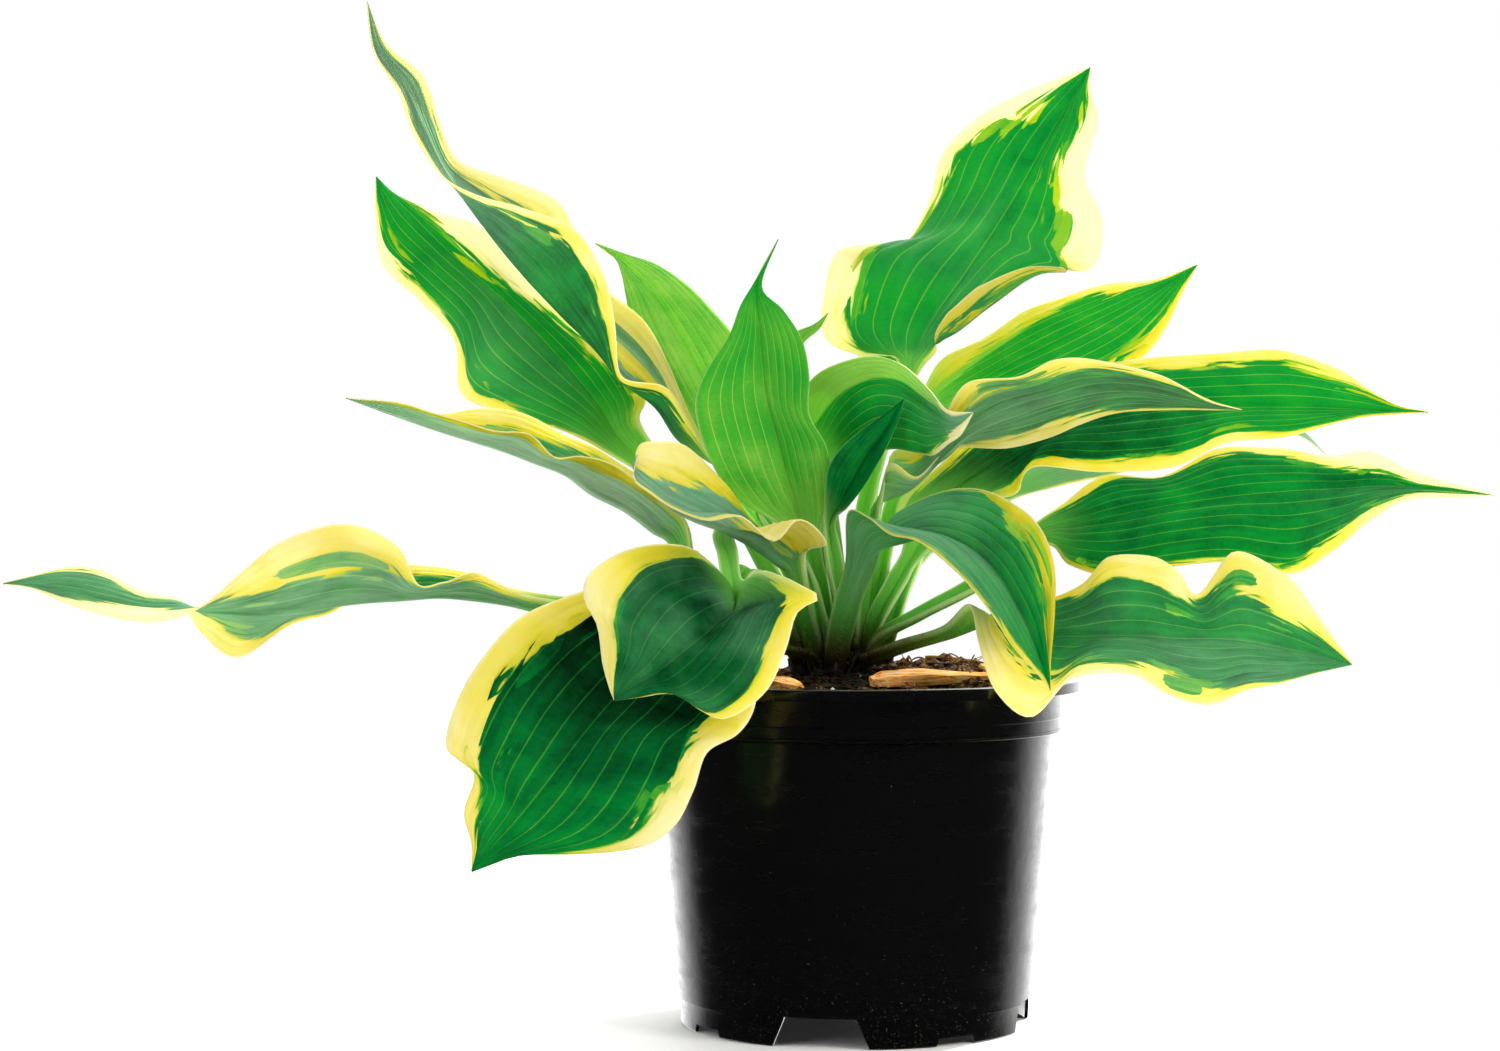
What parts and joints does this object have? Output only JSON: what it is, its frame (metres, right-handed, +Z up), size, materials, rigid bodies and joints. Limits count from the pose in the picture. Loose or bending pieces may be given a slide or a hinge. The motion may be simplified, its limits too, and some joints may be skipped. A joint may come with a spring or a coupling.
{
  "type": "potted hosta plant",
  "caption": "Leafy perennial with long stalked, waved, cream-edged leaves rising from one crown in a round nursery pot of soil.",
  "frame": {"origin": "under the middle of the whole plant's bounding box, at the height of the pot's foot", "axes": "+X to the right and +Y away as seen from the front, +Z up along the pot's axis"},
  "size_m": [0.5968, 0.3282, 0.4339],
  "materials": {
    "plastic": "satin black moulded polypropylene",
    "peat": "loose fibrous peat with a few white grains",
    "sheath": "dark purple-brown papery bases",
    "leaf": "green leaf with a yellow to cream edge, satin, with sunken parallel veins",
    "lime_leaf": "lime-green young leaf, satin, with sunken parallel veins",
    "bark": "dry split bark, rough"
  },
  "bodies": {
    "root": {"pot": "plastic", "soil": "peat", "crown": "sheath", "leaf_left_low": "leaf", "leaf_left_tall": "leaf", "leaf_left_broad": "leaf", "leaf_left_long": "leaf", "leaf_left_middle": "leaf", "leaf_front_small": "leaf", "leaf_front_hanging": "leaf", "leaf_centre_upright": "lime_leaf", "leaf_spear": "leaf", "leaf_centre_arching": "leaf", "leaf_right_tall": "leaf", "leaf_right_upper": "leaf", "leaf_right_far": "leaf", "leaf_right_grey": "leaf", "leaf_right_broad": "leaf", "leaf_right_low": "leaf", "leaf_front_arching": "leaf", "leaf_back_lime": "lime_leaf", "leaf_young": "lime_leaf", "leaf_right_behind": "leaf", "leaf_back_1": "leaf", "leaf_back_2": "leaf", "leaf_back_3": "leaf", "leaf_back_4": "leaf", "bark_long": "bark", "bark_left": "bark", "bark_short": "bark", "twig": "bark"}
  },
  "joints": []
}
